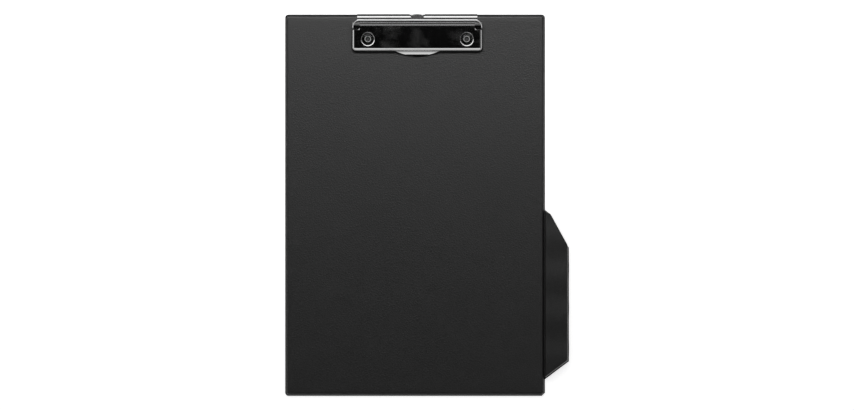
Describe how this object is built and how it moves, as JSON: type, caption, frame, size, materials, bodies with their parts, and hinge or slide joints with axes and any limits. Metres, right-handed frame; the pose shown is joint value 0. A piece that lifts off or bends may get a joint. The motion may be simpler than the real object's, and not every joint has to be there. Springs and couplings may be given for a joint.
{
  "type": "clipboard with spring clip and pen pocket",
  "caption": "Vinyl-covered A4 clipboard with a low lever clip hinged on a torsion wire, a pull-out hanging tongue and a welded pen pocket on its right-hand edge.",
  "frame": {"origin": "centre of the board's back face, on the surface that the board lies on", "axes": "+Z out of the writing face, +Y up the sheet towards the clip, +X to the right towards the pen pocket"},
  "size_m": [0.2567, 0.3456, 0.0114],
  "materials": {
    "vinyl": "leather-grained soft vinyl, satin",
    "pocket_vinyl": "thin grained vinyl, satin",
    "greyboard": "raw pressed board",
    "nickel": "bright nickel plate on pressed steel",
    "spring_steel": "drawn spring wire",
    "rivet_steel": "nickel-plated tubular rivet"
  },
  "bodies": {
    "board": {"core_board": "greyboard", "front_cover": "vinyl", "back_cover": "vinyl", "pocket_back_ply": "pocket_vinyl", "pocket_front_ply": "pocket_vinyl", "base_plate": "nickel", "hinge_wire": "spring_steel", "rivets": "rivet_steel", "rivet_washers": "rivet_steel"},
    "lever": {"lever": "nickel"},
    "tongue": {"hanging_tongue": "nickel"}
  },
  "joints": [
    {"name": "lever_hinge", "type": "hinge", "parent": "board", "child": "lever", "pos_m": [0.002, 0.164, 0.0091], "axis": [-1, 0, 0], "range_deg": [0, 50], "stiffness_Nm_per_rad": 1.19, "springref_deg": -11.46},
    {"name": "tongue_slide", "type": "slide", "parent": "board", "child": "tongue", "axis": [0, 1, 0], "range_m": [0, 0.0118]}
  ]
}
